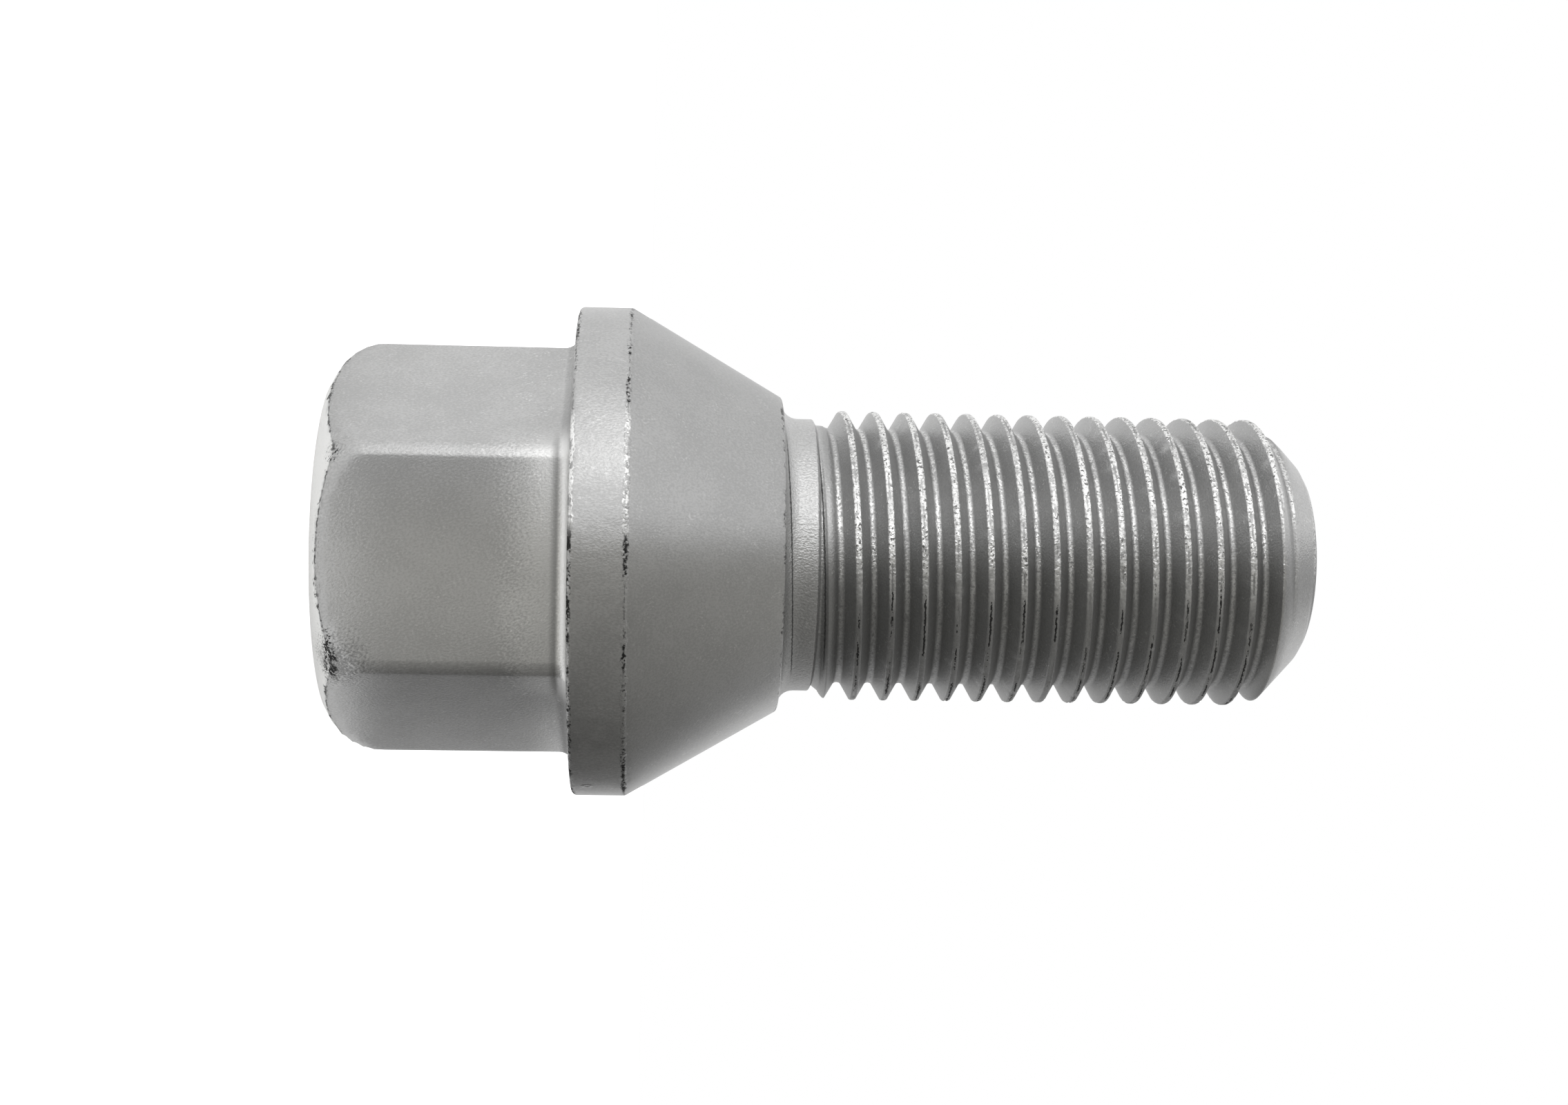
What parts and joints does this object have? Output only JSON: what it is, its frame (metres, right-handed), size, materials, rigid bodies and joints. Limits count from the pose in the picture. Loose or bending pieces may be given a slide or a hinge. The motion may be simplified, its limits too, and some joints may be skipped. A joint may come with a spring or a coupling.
{
  "type": "wheel bolt",
  "caption": "One-piece wheel bolt: hexagon head with chamfered end, round collar, 60 degree cone seat, plain neck and a rolled metric thread with a chamfered tip.",
  "frame": {"origin": "centre of the head's flat end, on the bolt's axis", "axes": "+Z along the bolt's axis from the head to the threaded tip; two flats of the hexagon face along +Y and -Y"},
  "size_m": [0.0232, 0.0232, 0.0459],
  "materials": {
    "coated_steel": "matt silver-grey zinc flake coat on steel, slightly rough"
  },
  "bodies": {
    "root": {"wheel_bolt": "coated_steel"}
  },
  "joints": []
}
